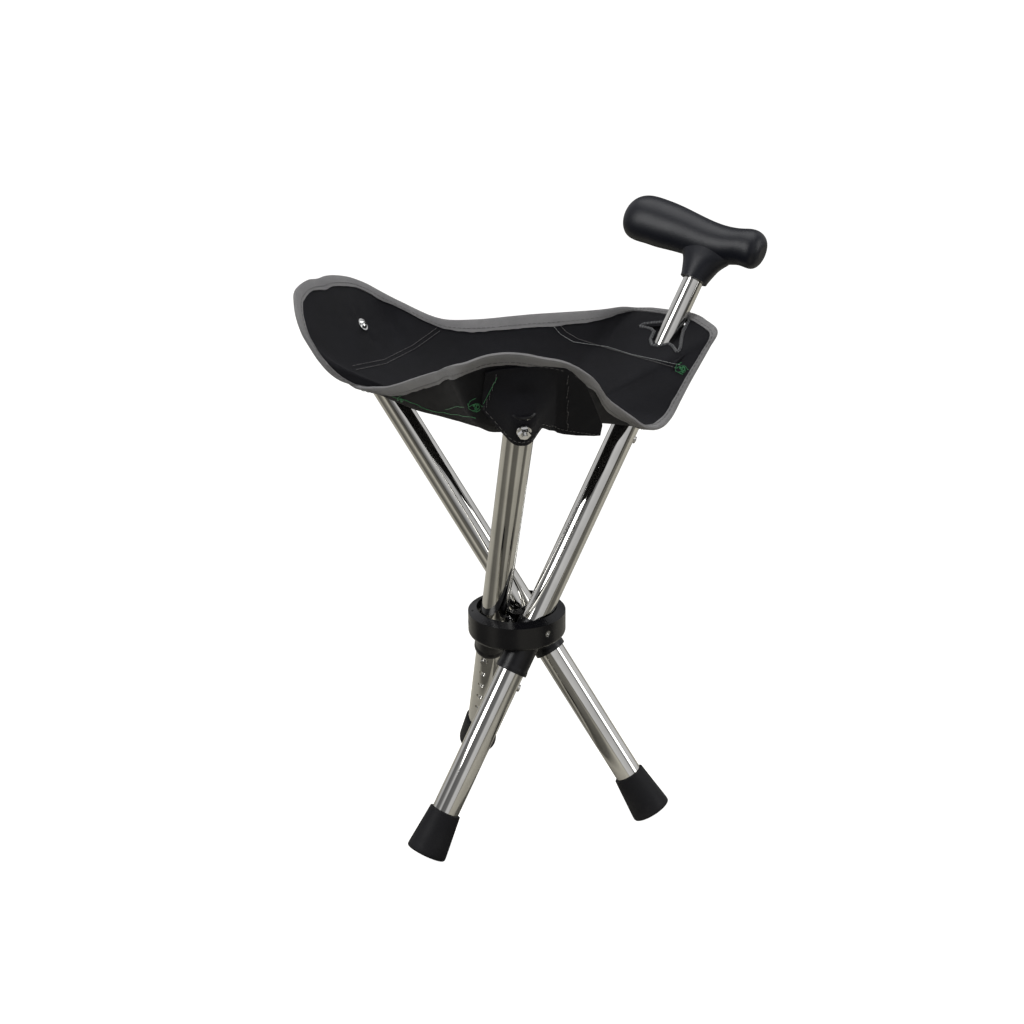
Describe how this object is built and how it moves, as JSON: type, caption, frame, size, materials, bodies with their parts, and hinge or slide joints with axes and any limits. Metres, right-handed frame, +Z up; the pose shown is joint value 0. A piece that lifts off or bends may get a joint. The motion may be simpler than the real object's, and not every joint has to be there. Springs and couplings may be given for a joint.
{
  "type": "folding cane stool",
  "caption": "Walking stick that opens to a tripod stool: crossed chromed legs in a hub ring, black cloth sling seat, rubber feet and an L-shaped grip.",
  "frame": {"origin": "on the floor under the middle of the whole stool's bounding box, standing open", "axes": "+Z up; +X towards the seat corner where the cane's handle passes through; +Y to the left of it"},
  "size_m": [0.4052, 0.3606, 0.5665],
  "materials": {
    "black_plastic": "satin moulded",
    "grip_plastic": "satin moulded",
    "chromed_tube": "polished",
    "polished_steel": "polished",
    "plain_steel": "plain",
    "foot_rubber": "matt, worn",
    "seat_cloth": "woven nylon",
    "grey_tape": "woven tape"
  },
  "bodies": {
    "hub": {"hub_ring": "black_plastic", "pivot_pins": "polished_steel", "pin_lock_screws": "polished_steel", "seat_panel": "seat_cloth", "seat_binding": "grey_tape"},
    "cane_leg": {"cane_leg_tube": "chromed_tube", "cane_leg_sleeve": "black_plastic", "cane_corner_pocket": "seat_cloth", "reducer_bush": "black_plastic"},
    "cane_extension": {"cane_extension_tube": "chromed_tube", "cane_rubber_foot": "foot_rubber", "cane_foot_plate": "plain_steel"},
    "cane_clip": {"cane_leg_clip": "plain_steel"},
    "left_leg": {"left_leg_tube": "chromed_tube", "left_leg_sleeve": "black_plastic", "left_corner_pocket": "seat_cloth", "left_leg_end_cap": "black_plastic", "left_seat_bolt": "polished_steel", "left_seat_washers": "polished_steel", "left_seat_nut": "polished_steel"},
    "left_extension": {"left_extension_tube": "chromed_tube", "left_rubber_foot": "foot_rubber", "left_foot_plate": "plain_steel"},
    "left_clip": {"left_leg_clip": "plain_steel"},
    "front_leg": {"front_leg_tube": "chromed_tube", "front_leg_sleeve": "black_plastic", "front_corner_pocket": "seat_cloth", "front_leg_end_cap": "black_plastic", "front_seat_bolt": "polished_steel", "front_seat_washers": "polished_steel", "front_seat_nut": "polished_steel"},
    "front_extension": {"front_extension_tube": "chromed_tube", "front_rubber_foot": "foot_rubber", "front_foot_plate": "plain_steel"},
    "front_clip": {"front_leg_clip": "plain_steel"},
    "handle": {"handle_tube": "chromed_tube", "handle_guide": "black_plastic", "handle_grip": "grip_plastic"},
    "handle_clip": {"handle_clip": "plain_steel"}
  },
  "joints": [
    {"name": "cane_fold", "type": "hinge", "parent": "hub", "child": "cane_leg", "pos_m": [-0.04702, -0.03171, 0.20217], "axis": [0, -1, 0], "range_deg": [0, 33.8], "deforming": ["cane_corner_pocket", "seat_panel", "seat_binding"]},
    {"name": "cane_extension_slide", "type": "slide", "parent": "cane_leg", "child": "cane_extension", "axis": [-0.5563, 0, -0.831], "range_m": [0, 0.09], "deforming": ["cane_leg_clip"]},
    {"name": "cane_button_press", "type": "slide", "parent": "cane_extension", "child": "cane_clip", "axis": [-0.7197, 0.5, 0.4818], "range_m": [0, 0.004], "stiffness_N_per_m": 1500, "deforming": ["cane_leg_clip"]},
    {"name": "left_fold", "type": "hinge", "parent": "hub", "child": "left_leg", "pos_m": [-0.0278, 0.00159, 0.20217], "axis": [0.866, 0.5, 0], "range_deg": [0, 33.8], "deforming": ["left_corner_pocket"]},
    {"name": "left_extension_slide", "type": "slide", "parent": "left_leg", "child": "left_extension", "axis": [0.2781, -0.4818, -0.831], "range_m": [0, 0.09], "deforming": ["left_leg_clip"]},
    {"name": "left_button_press", "type": "slide", "parent": "left_extension", "child": "left_clip", "axis": [-0.0732, -0.8732, 0.4818], "range_m": [0, 0.004], "stiffness_N_per_m": 1500, "deforming": ["left_leg_clip"]},
    {"name": "front_fold", "type": "hinge", "parent": "hub", "child": "front_leg", "pos_m": [-0.06625, 0.00159, 0.20217], "axis": [-0.866, 0.5, 0], "range_deg": [0, 33.8], "deforming": ["front_corner_pocket"]},
    {"name": "front_extension_slide", "type": "slide", "parent": "front_leg", "child": "front_extension", "axis": [0.2781, 0.4818, -0.831], "range_m": [0, 0.09], "deforming": ["front_leg_clip"]},
    {"name": "front_button_press", "type": "slide", "parent": "front_extension", "child": "front_clip", "axis": [0.7928, 0.3732, 0.4818], "range_m": [0, 0.004], "stiffness_N_per_m": 1500, "deforming": ["front_leg_clip"]},
    {"name": "handle_slide", "type": "slide", "parent": "cane_leg", "child": "handle", "axis": [0.5563, 0, 0.831], "range_m": [0, 0.045], "deforming": ["handle_clip"]},
    {"name": "handle_button_press", "type": "slide", "parent": "handle", "child": "handle_clip", "axis": [-0.7197, 0.5, 0.4818], "range_m": [0, 0.004], "stiffness_N_per_m": 1500, "deforming": ["handle_clip"]}
  ],
  "couplings": [
    {"joint": "left_fold", "follows": "cane_fold", "ratio": 1},
    {"joint": "front_fold", "follows": "cane_fold", "ratio": 1}
  ]
}
